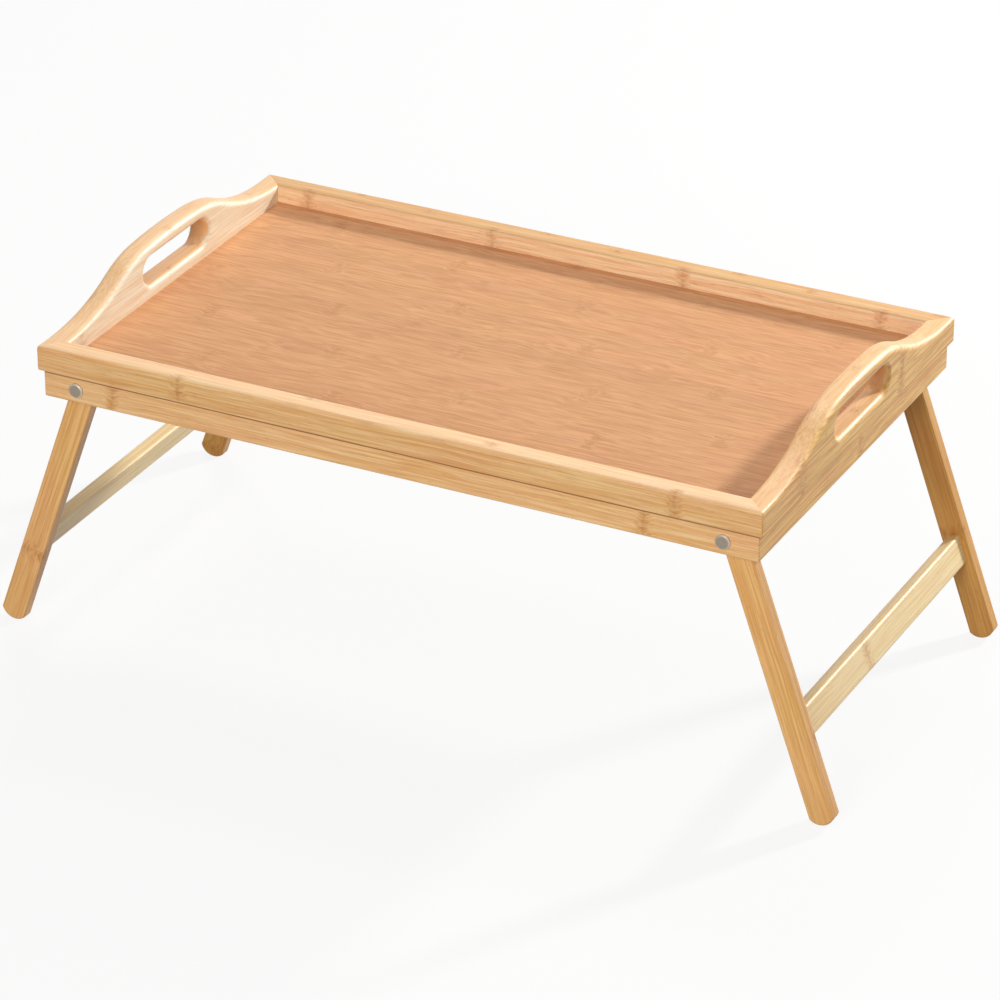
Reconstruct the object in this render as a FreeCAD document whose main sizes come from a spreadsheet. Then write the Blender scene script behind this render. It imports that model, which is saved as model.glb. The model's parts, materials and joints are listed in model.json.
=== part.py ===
import FreeCAD, Part
import math
import os
import Sketcher

# Bamboo bed tray table. The tray is a mitred frame of two low rails and two tall
# end boards with hand slots, round a thin panel. A mitred apron is fixed under it,
# and two leg frames turn on bolts through the apron and fold up inside it.
#
# +X runs along the tray to the right, +Y to the back and +Z up. The origin is on the
# floor under the middle of the tray. Lengths are in millimetres, angles in degrees.

doc = FreeCAD.newDocument("bed_tray_table")

sizes = {
    # upper frame
    "tray_length": 500.0,
    "tray_width": 300.0,
    "frame_thickness": 15.5,
    "rail_height": 17.0,
    "corner_round": 1.5,
    "edge_round": 2.5,
    "seam_round": 1.0,
    # end boards, measured up from the top of the rails
    "board_rise": 25.5,
    "ledge_length": 13.5,
    "arch_radius": 490.0,
    "shoulder_radius": 94.0,
    "cove_radius": 160.0,
    "board_round": 4.5,
    "slot_margin": 109.0,
    "slot_height": 19.0,
    "slot_wall": 10.0,
    "slot_round": 4.0,
    # panel
    "panel_thickness": 5.0,
    "panel_rebate": 4.0,
    "panel_gap": 0.2,
    # apron
    "apron_setback": 3.0,
    "apron_thickness": 11.0,
    "apron_round": 1.0,
    "leg_headroom": 1.4,
    "leg_inset": 0.3,
    # leg frames
    "leg_splay": 19.5,
    "leg_reach": 197.0,
    "leg_width": 17.0,
    "leg_thickness": 10.0,
    "leg_round": 1.5,
    "foot_radius": 10.0,
    "stop_gap": 0.3,
    "crossbar_reach": 133.0,
    "crossbar_width": 20.0,
    "crossbar_thickness": 9.0,
    "crossbar_round": 2.0,
    # leg pivots
    "bolt_head_diameter": 10.0,
    "bolt_head_height": 1.8,
    "bolt_head_chamfer": 0.8,
    "bolt_diameter": 6.0,
    "bolt_end_chamfer": 0.5,
    "bolt_tail": 1.0,
    "pivot_clearance": 0.05,
    "side_play": 0.1,
    "spacer_thickness": 0.5,
    "washer_thickness": 1.0,
    "washer_diameter": 12.0,
    "washer_clearance": 0.2,
    "nut_width": 10.0,
    "nut_height": 5.0,
    "nut_collar_diameter": 8.6,
    "nut_collar_height": 1.5,
    # dowels
    "frame_dowel_diameter": 5.0,
    "frame_dowel_length": 12.0,
    "apron_dowel_diameter": 4.0,
    "apron_dowel_length": 8.0,
    "crossbar_dowel_diameter": 5.0,
    "crossbar_dowel_length": 20.0,
    "crossbar_dowel_depth": 6.0,
    "dowel_clearance": 0.05,
    "hole_end_gap": 0.5,
    # screws up through the apron
    "screw_head_diameter": 5.5,
    "screw_head_height": 1.8,
    "screw_diameter": 3.0,
    "screw_bite": 9.0,
    "screw_tip": 3.0,
    "screw_clearance": 0.05,
    "screw_recess": 2.6,
    "screw_recess_width": 0.7,
    "screw_recess_depth": 1.1,
    "long_screw_spacing": 150.0,
    "short_screw_spacing": 150.0,
}

# How far a cut runs past the wood, so that it leaves no skin.
CUT_OVER = 1.0
# Two points nearer than this are taken as one when an edge is looked for.
NEAR = 0.001
# Flat wood left between two roundings on one face.
LAND = 0.3

sheet = doc.addObject("Spreadsheet::Sheet", "Sizes")
for row, (alias, value) in enumerate(sizes.items(), start=1):
    sheet.set("A%d" % row, alias)
    sheet.set("B%d" % row, str(value))
    sheet.setAlias("B%d" % row, alias)
doc.recompute()

# Places and sizes that follow from the driving ones.
derived = {
    # A folded leg lies between the panel and the underside of the apron.
    "pivot_drop": "Sizes.leg_width / 2 + Sizes.leg_inset",
    "apron_height": "Places.pivot_drop + Sizes.leg_width / 2 + Sizes.leg_headroom",
    "pivot_height": "(Sizes.leg_reach - Sizes.foot_radius) * cos(Sizes.leg_splay)"
                    " + Sizes.foot_radius",
    "apron_bottom": "Places.pivot_height - Places.pivot_drop",
    "seam_height": "Places.apron_bottom + Places.apron_height",
    "apron_length": "Sizes.tray_length - 2 * Sizes.apron_setback",
    "apron_width": "Sizes.tray_width - 2 * Sizes.apron_setback",
    "apron_face": "Places.apron_width / 2",
    "leg_face": "Places.apron_face - Sizes.apron_thickness - Sizes.spacer_thickness"
                " - Sizes.side_play",
    "leg_inner_face": "Places.leg_face - Sizes.leg_thickness",
    # The leg's outer edge rests on the lower inner edge of the end apron.
    "pivot_reach": "Places.apron_length / 2 - Sizes.apron_thickness"
                   " - (Sizes.leg_width / 2 + Sizes.stop_gap) / cos(Sizes.leg_splay)"
                   " - Places.pivot_drop * tan(Sizes.leg_splay)",
    "washer_face": "Places.leg_inner_face - Sizes.side_play",
    "nut_face": "Places.washer_face - Sizes.washer_thickness",
    "bolt_length": "Places.apron_face - Places.nut_face + Sizes.nut_height"
                   " + Sizes.nut_collar_height + Sizes.bolt_tail",
    "screw_line": "(Sizes.apron_setback + Sizes.frame_thickness - Sizes.panel_rebate) / 2",
    "screw_length": "Places.apron_height + Sizes.screw_bite",
    "frame_dowel_height": "(Sizes.panel_thickness + Sizes.rail_height) / 2",
    # The hand slot ends well before the arch has dropped to the ledges.
    "slot_length": "Sizes.tray_width - 2 * Sizes.slot_margin",
    "slot_reach": "(Places.slot_length - Sizes.slot_height) / 2",
    "slot_middle": "Sizes.rail_height + Sizes.board_rise - Sizes.slot_wall - Sizes.slot_height / 2",
    # The slot's rounding ends below the rounding of the arch, which is lower over the slot's ends.
    "slot_lip": "min(Sizes.slot_round; Sizes.slot_wall - Sizes.board_round - %g"
                " - Places.slot_reach ^ 2 / Sizes.arch_radius / 2)" % LAND,
}
places = doc.addObject("App::VarSet", "Places")
for name, formula in derived.items():
    places.addProperty("App::PropertyFloat", name)
for name, formula in derived.items():
    places.setExpression(name, formula)
doc.recompute()

nodes = []


def origin_plane(body, role):
    """One of the body's own three origin planes."""
    for feature in body.Origin.OriginFeatures:
        if feature.Role == role:
            return feature
    raise ValueError(role)


def new_body(label):
    body = doc.addObject("PartDesign::Body", label)
    body.Label = label
    return body


def new_node(label):
    """A body that is a sub-part by itself."""
    body = new_body(label)
    nodes.append(body)
    return body


def bind(thing, **formulas):
    """Tie properties to formulas; a name such as Placement__Base__x holds dots."""
    for name, formula in formulas.items():
        thing.setExpression(name.replace("__", "."), formula)


def place(thing, x="0", y="0", z="0", axis=(0, 0, 1), angle="0"):
    """Put a body or a cut at x, y, z, turned by an angle about a fixed axis."""
    thing.Placement = FreeCAD.Placement(FreeCAD.Vector(), FreeCAD.Rotation(FreeCAD.Vector(*axis), 10))
    bind(thing, Placement__Base__x=x, Placement__Base__y=y, Placement__Base__z=z,
         Placement__Rotation__Angle=angle)


def new_sketch(body, role, name):
    sketch = body.newObject("Sketcher::SketchObject", name)
    sketch.AttachmentSupport = [(origin_plane(body, role), "")]
    sketch.MapMode = "FlatFace"
    return sketch


def hold(sketch, kind, formula, start, *where):
    """Add a dimension to a sketch and tie it to a formula."""
    number = sketch.addConstraint(Sketcher.Constraint(kind, *where, start))
    sketch.setExpression("Constraints[%d]" % number, formula)


def polygon(sketch, corners):
    """A closed outline whose corners are pairs of formulas."""
    # The corners start on a ring, in order, and their dimensions then move them.
    count = len(corners)
    first = sketch.GeometryCount
    ring = []
    for i in range(count):
        turn = 2 * math.pi * (i + 0.5) / count
        ring.append(FreeCAD.Vector(count * math.cos(turn), count * math.sin(turn), 0))
    for i in range(count):
        sketch.addGeometry(Part.LineSegment(ring[i], ring[(i + 1) % count]), False)
    for i in range(count):
        sketch.addConstraint(Sketcher.Constraint("Coincident", first + i, 2, first + (i + 1) % count, 1))
    for i, (across, up) in enumerate(corners):
        hold(sketch, "DistanceX", across, ring[i].x, -1, 1, first + i, 1)
        hold(sketch, "DistanceY", up, ring[i].y, -1, 1, first + i, 1)


def rectangle(sketch, left, low, right, high):
    polygon(sketch, [(left, low), (right, low), (right, high), (left, high)])


def pad(body, sketch, length, flip=False, midplane=False):
    feature = body.newObject("PartDesign::Pad", body.Label + "_pad")
    feature.Profile = sketch
    feature.Midplane = midplane
    feature.Reversed = flip
    bind(feature, Length=length)
    doc.recompute()
    return feature


def pocket(body, sketch, depth=None, flip=False):
    """Cut to a depth, or right through, and make sure that wood came away."""
    before = body.Shape.Volume
    feature = body.newObject("PartDesign::Pocket", body.Label + "_pocket")
    feature.Profile = sketch
    feature.Reversed = flip
    if depth is None:
        feature.Type = "ThroughAll"
    else:
        bind(feature, Length=depth)
    doc.recompute()
    if body.Shape.Volume >= before:
        raise ValueError(feature.Label + " cuts nothing")
    return feature


def fillet(body, radius, wanted):
    """Round the edges of the body that the test picks out."""
    picked = ["Edge%d" % (i + 1) for i, edge in enumerate(body.Shape.Edges) if wanted(edge)]
    base = body.Tip
    feature = body.newObject("PartDesign::Fillet", body.Label + "_round")
    feature.Base = (base, picked)
    bind(feature, Radius=radius)
    doc.recompute()
    return feature


def lies_at(edge, axis, value):
    """Whether the whole edge has one coordinate, 0 for x, 1 for y or 2 for z."""
    ends = [vertex.Point[axis] for vertex in edge.Vertexes]
    middle = edge.valueAt((edge.FirstParameter + edge.LastParameter) / 2)[axis]
    return all(abs(coordinate - value) < NEAR for coordinate in ends + [middle])


def bore(body, radius, depth, x, y, z, axis=(0, 0, 1)):
    """Cut a round hole that starts at x, y, z and runs along an axis."""
    feature = body.newObject("PartDesign::SubtractiveCylinder", body.Label + "_bore")
    turn = FreeCAD.Rotation(FreeCAD.Vector(0, 0, 1), FreeCAD.Vector(*axis))
    feature.Placement = FreeCAD.Placement(FreeCAD.Vector(), turn)
    bind(feature, Radius=radius, Height=depth, Placement__Base__x=x, Placement__Base__y=y,
         Placement__Base__z=z)
    doc.recompute()
    return feature


def group(label, bodies):
    """Separate solids of one kind, kept as one sub-part."""
    compound = doc.addObject("Part::Compound", label)
    compound.Label = label
    compound.Links = bodies
    nodes.append(compound)
    return compound


# ---- mitred boards -------------------------------------------------------------
# A board lies along one local axis with its outer face at 0 of the other and its
# underside at z 0. It is rounded while its ends are still square and then mitred,
# so that the roundings of two boards meet on the mitre. The rounding of an upright
# end edge runs on over the top, where the mitre cuts it off again.

def mitre(body, along_x, length, thickness):
    """Cut both ends off at the line from the outer to the inner corner."""
    sketch = new_sketch(body, "XY_Plane", body.Label + "_mitres")
    for sign in ("-", ""):
        end = "%s(%s / 2 + %g)" % (sign, length, CUT_OVER)
        inner = "%s(%s / 2 - %s - %g)" % (sign, length, thickness, CUT_OVER)
        outside = "%g" % -CUT_OVER
        inside = "%s + %g" % (thickness, CUT_OVER)
        corners = [(end, outside), (inner, inside), (end, inside)]
        if not along_x:
            corners = [(across, along) for along, across in corners]
        polygon(sketch, corners)
    pocket(body, sketch, flip=True)


def corner_bores(body, along_x, length, thickness, diameter, dowel_length, height):
    """Holes square to the mitres for the corner dowels."""
    reach = "(%s / 2 + Sizes.hole_end_gap) * cos(45)" % dowel_length
    for sign, side in (("-", -1), ("", 1)):
        along = "%s(%s / 2 - %s / 2 + %s)" % (sign, length, thickness, reach)
        across = "%s / 2 + %s" % (thickness, reach)
        axis = (-side, -1, 0)
        if not along_x:
            along, across = across, along
            axis = (-1, -side, 0)
        bore(body, "%s / 2 + Sizes.dowel_clearance" % diameter,
             "%s + 2 * Sizes.hole_end_gap" % dowel_length, along, across, height, axis)


def panel_rebate(body, along_x, length):
    """The step under the inner edge that the panel lies in."""
    sketch = new_sketch(body, "XY_Plane", body.Label + "_rebate")
    left = "-%s / 2 - %g" % (length, CUT_OVER)
    right = "%s / 2 + %g" % (length, CUT_OVER)
    low = "Sizes.frame_thickness - Sizes.panel_rebate"
    high = "Sizes.frame_thickness + %g" % CUT_OVER
    if along_x:
        rectangle(sketch, left, low, right, high)
    else:
        rectangle(sketch, low, left, high, right)
    pocket(body, sketch, "Sizes.panel_thickness", flip=True)


def spots(spacing, count):
    """Screw places along a board, evenly either side of its middle."""
    return ["%s * %g" % (spacing, i - (count - 1) / 2) for i in range(count)]


LONG_SCREWS = spots("Sizes.long_screw_spacing", 3)
SHORT_SCREWS = spots("Sizes.short_screw_spacing", 2)


def pilot_holes(body, along_x, positions):
    """Blind holes in the underside of the upper frame for the apron screws."""
    for along in positions:
        x, y = (along, "Places.screw_line") if along_x else ("Places.screw_line", along)
        bore(body, "Sizes.screw_diameter / 2 + Sizes.screw_clearance",
             "Sizes.screw_bite + Sizes.hole_end_gap + %g" % CUT_OVER, x, y, "%g" % -CUT_OVER)


def make_rail(label, side):
    """A low rail; side is -1 for the front and 1 for the back."""
    body = new_node(label)
    sketch = new_sketch(body, "XY_Plane", label + "_plan")
    rectangle(sketch, "-Sizes.tray_length / 2", "0", "Sizes.tray_length / 2", "Sizes.frame_thickness")
    pad(body, sketch, "Sizes.rail_height")
    top = sizes["rail_height"]
    inner = sizes["frame_thickness"]
    fillet(body, "Sizes.edge_round",
           lambda edge: lies_at(edge, 2, top) and (lies_at(edge, 1, 0) or lies_at(edge, 1, inner)))
    fillet(body, "Sizes.corner_round", lambda edge: lies_at(edge, 1, 0) and edge.BoundBox.ZLength > NEAR)
    fillet(body, "Sizes.seam_round", lambda edge: lies_at(edge, 2, 0) and not lies_at(edge, 1, inner))
    panel_rebate(body, True, "Sizes.tray_length")
    mitre(body, True, "Sizes.tray_length", "Sizes.frame_thickness")
    corner_bores(body, True, "Sizes.tray_length", "Sizes.frame_thickness", "Sizes.frame_dowel_diameter",
                 "Sizes.frame_dowel_length", "Places.frame_dowel_height")
    pilot_holes(body, True, LONG_SCREWS)
    place(body, y="%d * Sizes.tray_width / 2" % side, z="Places.seam_height",
          angle="0" if side < 0 else "180")


def board_arcs():
    """Rough centres and meeting points of the end board's arcs, to start its sketch from."""
    arch = FreeCAD.Vector(0, sizes["rail_height"] + sizes["board_rise"] - sizes["arch_radius"], 0)
    cove = FreeCAD.Vector(sizes["tray_width"] / 2 - sizes["ledge_length"],
                          sizes["rail_height"] + sizes["cove_radius"], 0)
    from_arch = sizes["arch_radius"] - sizes["shoulder_radius"]
    from_cove = sizes["shoulder_radius"] + sizes["cove_radius"]
    line = cove - arch
    along = (line.Length ** 2 + from_arch ** 2 - from_cove ** 2) / (2 * line.Length)
    aside = math.sqrt(from_arch ** 2 - along ** 2)
    line.normalize()
    shoulder = arch + line * along + FreeCAD.Vector(-line.y, line.x, 0) * aside
    to_shoulder = shoulder - arch
    to_shoulder.normalize()
    to_cove = cove - shoulder
    to_cove.normalize()
    arch_end = arch + to_shoulder * sizes["arch_radius"]
    cove_end = shoulder + to_cove * sizes["shoulder_radius"]
    return arch, shoulder, cove, arch_end, cove_end


def arc(centre, radius, start, end):
    """An arc that runs anticlockwise from one point to another."""
    circle = Part.Circle(centre, FreeCAD.Vector(0, 0, 1), radius)
    first = math.atan2(start.y - centre.y, start.x - centre.x)
    last = math.atan2(end.y - centre.y, end.x - centre.x)
    if last <= first:
        last += 2 * math.pi
    return Part.ArcOfCircle(circle, first, last)


def mirrored(point):
    return FreeCAD.Vector(-point.x, point.y, 0)


def board_profile(sketch):
    """The end board seen from its side: square ends, two ledges, and an arch with coves."""
    half = sizes["tray_width"] / 2
    top = sizes["rail_height"]
    arch, shoulder, cove, arch_end, cove_end = board_arcs()
    low_right = FreeCAD.Vector(half, 0, 0)
    high_right = FreeCAD.Vector(half, top, 0)
    ledge_right = FreeCAD.Vector(cove.x, top, 0)
    low_left, high_left, ledge_left = mirrored(low_right), mirrored(high_right), mirrored(ledge_right)
    sketch.addGeometry([
        Part.LineSegment(low_left, low_right),
        Part.LineSegment(low_right, high_right),
        Part.LineSegment(high_right, ledge_right),
        arc(cove, sizes["cove_radius"], cove_end, ledge_right),
        arc(shoulder, sizes["shoulder_radius"], cove_end, arch_end),
        arc(arch, sizes["arch_radius"], arch_end, mirrored(arch_end)),
        arc(mirrored(shoulder), sizes["shoulder_radius"], mirrored(arch_end), mirrored(cove_end)),
        arc(mirrored(cove), sizes["cove_radius"], ledge_left, mirrored(cove_end)),
        Part.LineSegment(ledge_left, high_left),
        Part.LineSegment(high_left, low_left),
    ], False)
    for first, first_end, second, second_end in ((0, 2, 1, 1), (1, 2, 2, 1), (8, 2, 9, 1), (9, 2, 0, 1)):
        sketch.addConstraint(Sketcher.Constraint("Coincident", first, first_end, second, second_end))
    for first, first_end, second, second_end in ((2, 2, 3, 2), (3, 1, 4, 1), (4, 2, 5, 1), (5, 2, 6, 1),
                                                 (6, 2, 7, 2), (7, 1, 8, 1)):
        sketch.addConstraint(Sketcher.Constraint("Tangent", first, first_end, second, second_end))
    hold(sketch, "DistanceX", "-Sizes.tray_width / 2", -half, -1, 1, 0, 1)
    hold(sketch, "DistanceY", "0", 0, -1, 1, 0, 1)
    hold(sketch, "DistanceX", "Sizes.tray_width / 2", half, -1, 1, 0, 2)
    hold(sketch, "DistanceY", "0", 0, -1, 1, 0, 2)
    hold(sketch, "DistanceX", "Sizes.tray_width / 2", half, -1, 1, 1, 2)
    hold(sketch, "DistanceX", "-Sizes.tray_width / 2", -half, -1, 1, 8, 2)
    ledge_end = "Sizes.tray_width / 2 - Sizes.ledge_length"
    for line, end, sign, there in ((2, 2, "", ledge_right), (8, 1, "-", ledge_left)):
        hold(sketch, "DistanceX", "%s(%s)" % (sign, ledge_end), there.x, -1, 1, line, end)
        hold(sketch, "DistanceY", "Sizes.rail_height", top, -1, 1, line, end)
        sketch.addConstraint(Sketcher.Constraint("Horizontal", line))
    for number in (3, 7):
        hold(sketch, "Radius", "Sizes.cove_radius", sizes["cove_radius"], number)
    for number in (4, 6):
        hold(sketch, "Radius", "Sizes.shoulder_radius", sizes["shoulder_radius"], number)
    hold(sketch, "Radius", "Sizes.arch_radius", sizes["arch_radius"], 5)
    hold(sketch, "DistanceX", "0", 0, -1, 1, 5, 3)
    hold(sketch, "DistanceY", "Sizes.rail_height + Sizes.board_rise - Sizes.arch_radius", arch.y,
         -1, 1, 5, 3)


def slot_profile(sketch):
    """The hand slot: a long hole with round ends."""
    reach = places.slot_reach
    radius = sizes["slot_height"] / 2
    height = places.slot_middle
    right = FreeCAD.Vector(reach, height, 0)
    left = mirrored(right)
    up = FreeCAD.Vector(0, radius, 0)
    sketch.addGeometry([
        Part.LineSegment(left - up, right - up),
        arc(right, radius, right - up, right + up),
        Part.LineSegment(right + up, left + up),
        arc(left, radius, left + up, left - up),
    ], False)
    for first, first_end, second, second_end in ((0, 2, 1, 1), (1, 2, 2, 1), (2, 2, 3, 1), (3, 2, 0, 1)):
        sketch.addConstraint(Sketcher.Constraint("Tangent", first, first_end, second, second_end))
    hold(sketch, "DistanceX", "Places.slot_reach", reach, -1, 1, 1, 3)
    hold(sketch, "DistanceX", "-Places.slot_reach", -reach, -1, 1, 3, 3)
    hold(sketch, "DistanceY", "Places.slot_middle", height, -1, 1, 1, 3)
    hold(sketch, "Radius", "Sizes.slot_height / 2", radius, 1)
    sketch.addConstraint(Sketcher.Constraint("Horizontal", 0))


def roll_top(blank):
    """Round the two top edges as small as a rail's on the ledges, growing over the coves to the arch."""
    ledge_end = sizes["tray_width"] / 2 - sizes["ledge_length"]
    rounds = []
    for number, edge in enumerate(blank.Shape.Edges, start=1):
        box = edge.BoundBox
        if box.ZMin > sizes["rail_height"] - NEAR and box.XLength < NEAR:
            # The rounding runs along the board from its +Y end.
            ends = sorted((vertex.Point.y for vertex in edge.Vertexes), reverse=True)
            radii = [sizes["edge_round" if abs(end) > ledge_end - NEAR else "board_round"] for end in ends]
            rounds.append((number, *radii))
    rolled = doc.addObject("Part::Fillet", blank.Label + "_rolled")
    rolled.Base = blank
    rolled.Edges = rounds
    doc.recompute()
    if abs(rolled.Shape.Solids[0].CenterOfMass.y) > NEAR:
        raise ValueError(rolled.Label + " differs between its two halves")
    return rolled


def make_end_board(label, side):
    """A tall end board; side is -1 for the left and 1 for the right."""
    blank = new_body(label + "_blank")
    profile = new_sketch(blank, "YZ_Plane", label + "_profile")
    board_profile(profile)
    pad(blank, profile, "Sizes.frame_thickness")
    body = new_node(label)
    body.BaseFeature = roll_top(blank)
    doc.recompute()
    inner = sizes["frame_thickness"]
    fillet(body, "Sizes.corner_round",
           lambda edge: lies_at(edge, 0, 0) and edge.BoundBox.YLength < NEAR)
    fillet(body, "Sizes.seam_round", lambda edge: lies_at(edge, 2, 0) and not lies_at(edge, 0, inner))
    slot = new_sketch(body, "YZ_Plane", label + "_slot")
    slot_profile(slot)
    pocket(body, slot, flip=True)
    fillet(body, "Places.slot_lip", slot_edge)
    panel_rebate(body, False, "Sizes.tray_width")
    mitre(body, False, "Sizes.tray_width", "Sizes.frame_thickness")
    corner_bores(body, False, "Sizes.tray_width", "Sizes.frame_thickness", "Sizes.frame_dowel_diameter",
                 "Sizes.frame_dowel_length", "Places.frame_dowel_height")
    pilot_holes(body, False, SHORT_SCREWS)
    place(body, x="%d * Sizes.tray_length / 2" % side, z="Places.seam_height",
          angle="0" if side < 0 else "180")


def slot_edge(edge):
    """Whether an edge goes round the mouth of the hand slot."""
    box = edge.BoundBox
    low = places.slot_middle - sizes["slot_height"] / 2
    on_face = lies_at(edge, 0, 0) or lies_at(edge, 0, sizes["frame_thickness"])
    inside = max(abs(box.YMin), abs(box.YMax)) < places.slot_length / 2 + NEAR
    return on_face and inside and low - NEAR < box.ZMin and box.ZMax < low + sizes["slot_height"] + NEAR


def make_panel():
    """The thin board that the rebates hold and the apron carries."""
    panel = doc.addObject("Part::Box", "tray_panel")
    panel.Label = "tray_panel"
    edge = "2 * (Sizes.frame_thickness - Sizes.panel_rebate + Sizes.panel_gap)"
    bind(panel, Length="Sizes.tray_length - " + edge, Width="Sizes.tray_width - " + edge,
         Height="Sizes.panel_thickness")
    place(panel, x="-tray_panel.Length / 2", y="-tray_panel.Width / 2", z="Places.seam_height")
    nodes.append(panel)


def make_apron(label, side, along_x):
    """One board of the apron; side is -1 for the front or left and 1 for the back or right."""
    length = "Places.apron_length" if along_x else "Places.apron_width"
    face = "Places.apron_width / 2" if along_x else "Places.apron_length / 2"
    body = new_node(label)
    plan = new_sketch(body, "XY_Plane", label + "_plan")
    if along_x:
        rectangle(plan, "-%s / 2" % length, "0", "%s / 2" % length, "Sizes.apron_thickness")
    else:
        rectangle(plan, "0", "-%s / 2" % length, "Sizes.apron_thickness", "%s / 2" % length)
    pad(body, plan, "Places.apron_height")
    outward = 1 if along_x else 0
    top = places.apron_height
    fillet(body, "Sizes.apron_round", lambda edge: not lies_at(edge, 2, top) and (
        lies_at(edge, outward, 0) or lies_at(edge, 2, 0)))
    mitre(body, along_x, length, "Sizes.apron_thickness")
    corner_bores(body, along_x, length, "Sizes.apron_thickness", "Sizes.apron_dowel_diameter",
                 "Sizes.apron_dowel_length", "Places.apron_height / 2")
    line = "Places.screw_line - Sizes.apron_setback"
    for along in LONG_SCREWS if along_x else SHORT_SCREWS:
        x, y = (along, line) if along_x else (line, along)
        bore(body, "Sizes.screw_diameter / 2 + Sizes.screw_clearance",
             "Places.apron_height + 2 * %g" % CUT_OVER, x, y, "%g" % -CUT_OVER)
        countersink(body, x, y)
    if along_x:
        for sign in ("-", ""):
            bore(body, "Sizes.bolt_diameter / 2 + Sizes.pivot_clearance",
                 "Sizes.apron_thickness + 2 * %g" % CUT_OVER, sign + "Places.pivot_reach",
                 "%g" % -CUT_OVER, "Places.pivot_drop", (0, 1, 0))
    offset = "%d * %s" % (side, face)
    place(body, x="0" if along_x else offset, y=offset if along_x else "0", z="Places.apron_bottom",
          angle="0" if side < 0 else "180")


def countersink(body, x, y):
    """A cone in the apron's underside for a screw's flat head."""
    feature = body.newObject("PartDesign::SubtractiveCone", body.Label + "_countersink")
    bind(feature, Radius1="Sizes.screw_head_diameter / 2 + Sizes.screw_clearance",
         Radius2="Sizes.screw_diameter / 2 + Sizes.screw_clearance",
         Height="Sizes.screw_head_height", Placement__Base__x=x, Placement__Base__y=y)
    doc.recompute()


# ---- leg frames ----------------------------------------------------------------
# A leg hangs from its pivot at the local origin. Its outer face is at y 0, and it is
# turned about Y by the splay. across is -1 for the left pair and 1 for the right one.

def splay_angle(across):
    return "%d * Sizes.leg_splay" % -across


def leg_profile(sketch):
    """A strip with a round top about the pivot and a slightly rounded foot."""
    half = sizes["leg_width"] / 2
    foot_centre = sizes["foot_radius"] - sizes["leg_reach"]
    foot_side = foot_centre - math.sqrt(sizes["foot_radius"] ** 2 - half ** 2)
    left_foot, right_foot = FreeCAD.Vector(-half, foot_side, 0), FreeCAD.Vector(half, foot_side, 0)
    left_top, right_top = FreeCAD.Vector(-half, 0, 0), FreeCAD.Vector(half, 0, 0)
    sketch.addGeometry([
        Part.LineSegment(right_foot, right_top),
        arc(FreeCAD.Vector(), half, right_top, left_top),
        Part.LineSegment(left_top, left_foot),
        arc(FreeCAD.Vector(0, foot_centre, 0), sizes["foot_radius"], left_foot, right_foot),
    ], False)
    sketch.addConstraint(Sketcher.Constraint("Tangent", 0, 2, 1, 1))
    sketch.addConstraint(Sketcher.Constraint("Tangent", 1, 2, 2, 1))
    sketch.addConstraint(Sketcher.Constraint("Coincident", 2, 2, 3, 1))
    sketch.addConstraint(Sketcher.Constraint("Coincident", 3, 2, 0, 1))
    sketch.addConstraint(Sketcher.Constraint("Vertical", 0))
    sketch.addConstraint(Sketcher.Constraint("Coincident", 1, 3, -1, 1))
    hold(sketch, "Radius", "Sizes.leg_width / 2", half, 1)
    hold(sketch, "Radius", "Sizes.foot_radius", sizes["foot_radius"], 3)
    hold(sketch, "DistanceX", "0", 0, -1, 1, 3, 3)
    hold(sketch, "DistanceY", "Sizes.foot_radius - Sizes.leg_reach", foot_centre, -1, 1, 3, 3)


def make_leg(label, across, back):
    """A leg; back is -1 for a front leg and 1 for a back one."""
    body = new_node(label)
    profile = new_sketch(body, "XZ_Plane", label + "_profile")
    leg_profile(profile)
    pad(body, profile, "Sizes.leg_thickness", flip=back < 0)
    fillet(body, "Sizes.leg_round", lambda edge: lies_at(edge, 1, 0)
           or lies_at(edge, 1, -back * sizes["leg_thickness"]))
    bore(body, "Sizes.bolt_diameter / 2 + Sizes.pivot_clearance",
         "Sizes.leg_thickness + 2 * %g" % CUT_OVER, "0", "%g" % (back * CUT_OVER), "0", (0, -back, 0))
    bore(body, "Sizes.crossbar_dowel_diameter / 2 + Sizes.dowel_clearance",
         "Sizes.crossbar_dowel_depth + Sizes.hole_end_gap + %g" % CUT_OVER,
         "0", "%d * (Sizes.leg_thickness + %g)" % (-back, CUT_OVER), "-Sizes.crossbar_reach",
         (0, back, 0))
    place(body, x="%d * Places.pivot_reach" % across, y="%d * Places.leg_face" % back,
          z="Places.pivot_height", axis=(0, 1, 0), angle=splay_angle(across))


def make_crossbar(label, across):
    """The bar that joins two legs, with its ends against their inner faces."""
    body = new_node(label)
    section = new_sketch(body, "XZ_Plane", label + "_section")
    rectangle(section, "-Sizes.crossbar_thickness / 2", "-Sizes.crossbar_reach - Sizes.crossbar_width / 2",
              "Sizes.crossbar_thickness / 2", "-Sizes.crossbar_reach + Sizes.crossbar_width / 2")
    pad(body, section, "2 * Places.leg_inner_face", midplane=True)
    end = places.leg_inner_face
    fillet(body, "Sizes.crossbar_round",
           lambda edge: not lies_at(edge, 1, end) and not lies_at(edge, 1, -end))
    depth = "Sizes.crossbar_dowel_length - Sizes.crossbar_dowel_depth + Sizes.hole_end_gap + %g" % CUT_OVER
    for back in (-1, 1):
        bore(body, "Sizes.crossbar_dowel_diameter / 2 + Sizes.dowel_clearance", depth,
             "0", "%d * (Places.leg_inner_face + %g)" % (back, CUT_OVER), "-Sizes.crossbar_reach",
             (0, -back, 0))
    place(body, x="%d * Places.pivot_reach" % across, z="Places.pivot_height", axis=(0, 1, 0),
          angle=splay_angle(across))


# ---- round pieces --------------------------------------------------------------

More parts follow.
